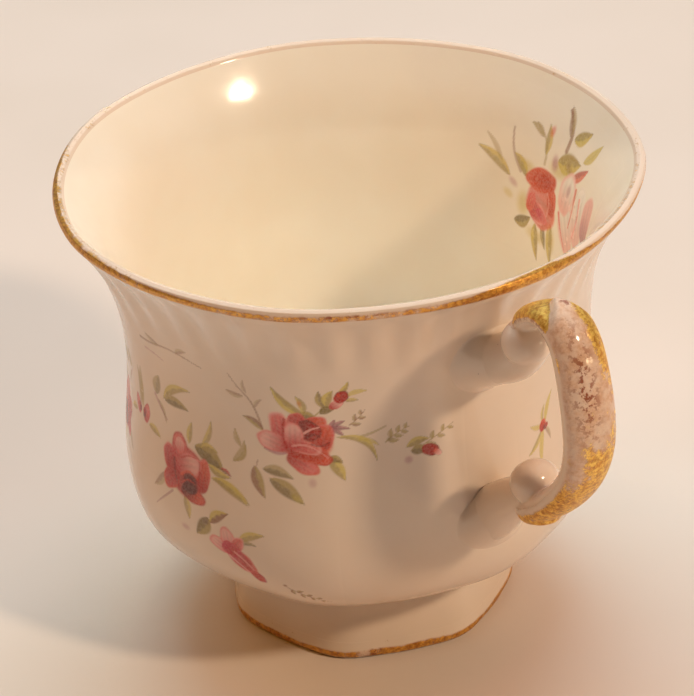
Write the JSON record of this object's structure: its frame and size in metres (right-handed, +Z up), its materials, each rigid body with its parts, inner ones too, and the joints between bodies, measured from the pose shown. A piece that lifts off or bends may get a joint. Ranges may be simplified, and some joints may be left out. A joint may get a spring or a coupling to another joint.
{
  "type": "teacup",
  "caption": "Footed teacup with a lobed, flared bowl, a C-scroll loop handle and gilded edges, decorated with rose sprays; holds a hot drink.",
  "frame": {"origin": "middle of the base of the whole cup's box, on the surface the foot stands on; the bowl's axis stands 9.9 mm from it, away from the handle", "axes": "+Z up along the bowl's axis, +X towards the handle, +Y to the handle's left seen from outside it looking at the bowl"},
  "size_m": [0.1058, 0.0862, 0.0745],
  "materials": {
    "china": "glossy clear glaze over warm white bone china",
    "slip": "fired slip under the same glossy glaze",
    "gilding": "worn liquid gold, satin, rubbed through in places",
    "enamel": "printed overglaze enamel, softly glossy"
  },
  "bodies": {
    "root": {"bowl": "china", "foot_ring": "china", "handle": "china", "upper_handle_joint": "slip", "lower_handle_joint": "slip", "rim_gilding": "gilding", "foot_gilding": "gilding", "handle_gilding": "gilding", "front_rose_transfer": "enamel", "left_rose_transfer": "enamel", "rosebud_transfer": "enamel", "side_rose_transfer": "enamel", "handle_side_transfer": "enamel", "rear_rose_transfer": "enamel", "rear_bud_transfer": "enamel", "inner_rose_transfer": "enamel"}
  },
  "joints": []
}
